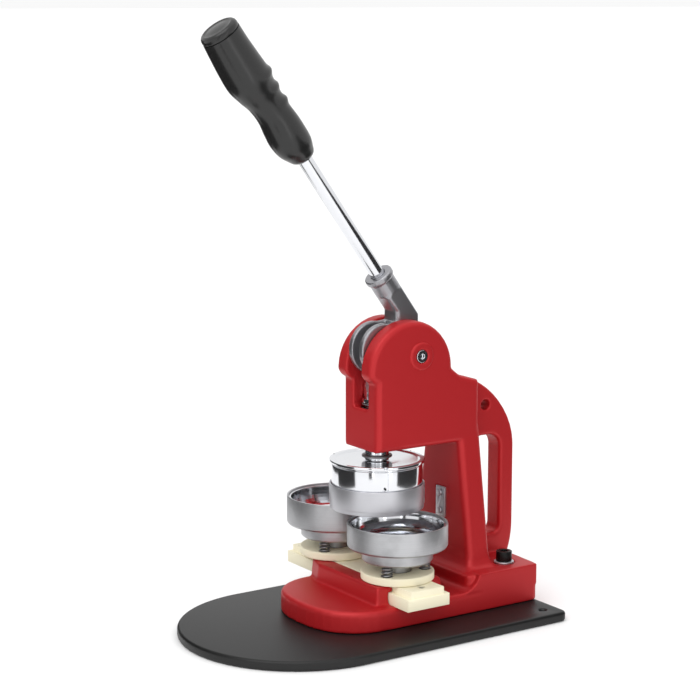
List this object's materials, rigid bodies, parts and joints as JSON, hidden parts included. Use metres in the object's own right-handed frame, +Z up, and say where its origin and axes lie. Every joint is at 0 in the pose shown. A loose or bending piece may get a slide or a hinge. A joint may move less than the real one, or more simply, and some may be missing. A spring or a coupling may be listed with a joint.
{
  "type": "button badge maker",
  "caption": "Hand lever press for button badges: cast frame on a flat plate, hinged lever driving an upper die, and sprung lower dies on a sliding bar.",
  "frame": {"origin": "underside of the base plate, on the vertical axis of the ram", "axes": "+Z up along the ram; -Y towards the operator and the rounded nose of the plate; +X along the slider"},
  "size_m": [0.1995, 0.302, 0.4787],
  "materials": {
    "red_paint": "gloss red powder coat on cast iron",
    "black_paint": "gloss black enamel on steel plate",
    "black_plastic": "moulded satin black plastic",
    "black_oxide": "black oxide steel",
    "nylon": "machined cream nylon",
    "cast_aluminium": "tumbled grey casting",
    "chrome": "mirror chrome plate",
    "turned_steel": "satin turned steel",
    "spring_steel": "bright spring wire",
    "bronze": "oiled bearing bronze"
  },
  "bodies": {
    "frame": {"base_plate": "black_paint", "body_casting": "red_paint", "rear_bolt_right": "black_oxide", "rear_washer_right": "turned_steel", "front_screw_right": "black_oxide", "axle_screw_right": "turned_steel", "rear_bolt_left": "black_oxide", "rear_washer_left": "turned_steel", "front_screw_left": "black_oxide", "axle_screw_left": "turned_steel", "guide_strip": "turned_steel", "strip_screw_lower": "turned_steel", "strip_screw_upper": "turned_steel", "ram_bush": "bronze", "pivot_axle": "turned_steel", "ram_spring": "spring_steel"},
    "lever": {"lever_hub": "cast_aluminium", "hub_bush": "bronze", "lever_rod": "chrome", "lever_grip": "black_plastic", "grip_end_cap": "black_plastic", "crank_pin": "turned_steel"},
    "link": {"press_link": "turned_steel"},
    "ram": {"ram_shaft": "chrome", "ram_retainer": "spring_steel", "wrist_pin": "turned_steel", "upper_die_flange": "chrome", "upper_die_core": "chrome", "upper_die_screw": "black_oxide", "guide_pin_1": "black_oxide", "guide_pin_2": "black_oxide", "guide_pin_3": "black_oxide"},
    "guard": {"guard_ring": "turned_steel"},
    "slider": {"slider_bar": "nylon", "stop_screw_right": "black_oxide", "stop_screw_left": "black_oxide", "right_die_disc": "nylon", "left_die_disc": "nylon", "right_die_spring_1": "spring_steel", "right_die_spring_2": "spring_steel", "right_die_spring_3": "spring_steel", "left_die_spring_1": "spring_steel", "left_die_spring_2": "spring_steel", "left_die_spring_3": "spring_steel"},
    "right_die": {"right_die_base": "turned_steel", "right_die_ring": "turned_steel", "right_die_bowl": "chrome"},
    "left_die": {"left_die_base": "turned_steel", "left_die_ring": "turned_steel", "left_die_bowl": "chrome"}
  },
  "joints": [
    {"name": "lever_pivot", "type": "hinge", "parent": "frame", "child": "lever", "pos_m": [0, 0.026, 0.2144], "axis": [1, 0, 0], "range_deg": [0, 42], "stiffness_Nm_per_rad": 1, "springref_deg": -68.75},
    {"name": "link_pivot", "type": "hinge", "parent": "lever", "child": "link", "pos_m": [0, 0, 0.21993], "axis": [1, 0, 0], "range_deg": [-46, 0]},
    {"name": "ram_slide", "type": "slide", "parent": "frame", "child": "ram", "axis": [0, 0, -1], "range_m": [0, 0.0189], "deforming": ["ram_spring"]},
    {"name": "guard_slide", "type": "slide", "parent": "frame", "child": "guard", "axis": [0, 0, -1], "range_m": [0, 0.002]},
    {"name": "slider_slide", "type": "slide", "parent": "frame", "child": "slider", "axis": [1, 0, 0], "range_m": [-0.02875, 0.06025]},
    {"name": "right_die_press", "type": "slide", "parent": "slider", "child": "right_die", "axis": [0, 0, -1], "range_m": [0, 0.006], "stiffness_N_per_m": 6000, "springref_m": -0.0015, "deforming": ["right_die_spring_1", "right_die_spring_2", "right_die_spring_3"]},
    {"name": "left_die_press", "type": "slide", "parent": "slider", "child": "left_die", "axis": [0, 0, -1], "range_m": [0, 0.006], "stiffness_N_per_m": 6000, "springref_m": -0.0015, "deforming": ["left_die_spring_1", "left_die_spring_2", "left_die_spring_3"]}
  ],
  "couplings": [
    {"joint": "link_pivot", "follows": "lever_pivot", "ratio": -1.082},
    {"joint": "ram_slide", "follows": "lever_pivot", "m_per_rad": 0.0255},
    {"joint": "guard_slide", "follows": "lever_pivot", "m_per_rad": 0.0026}
  ]
}
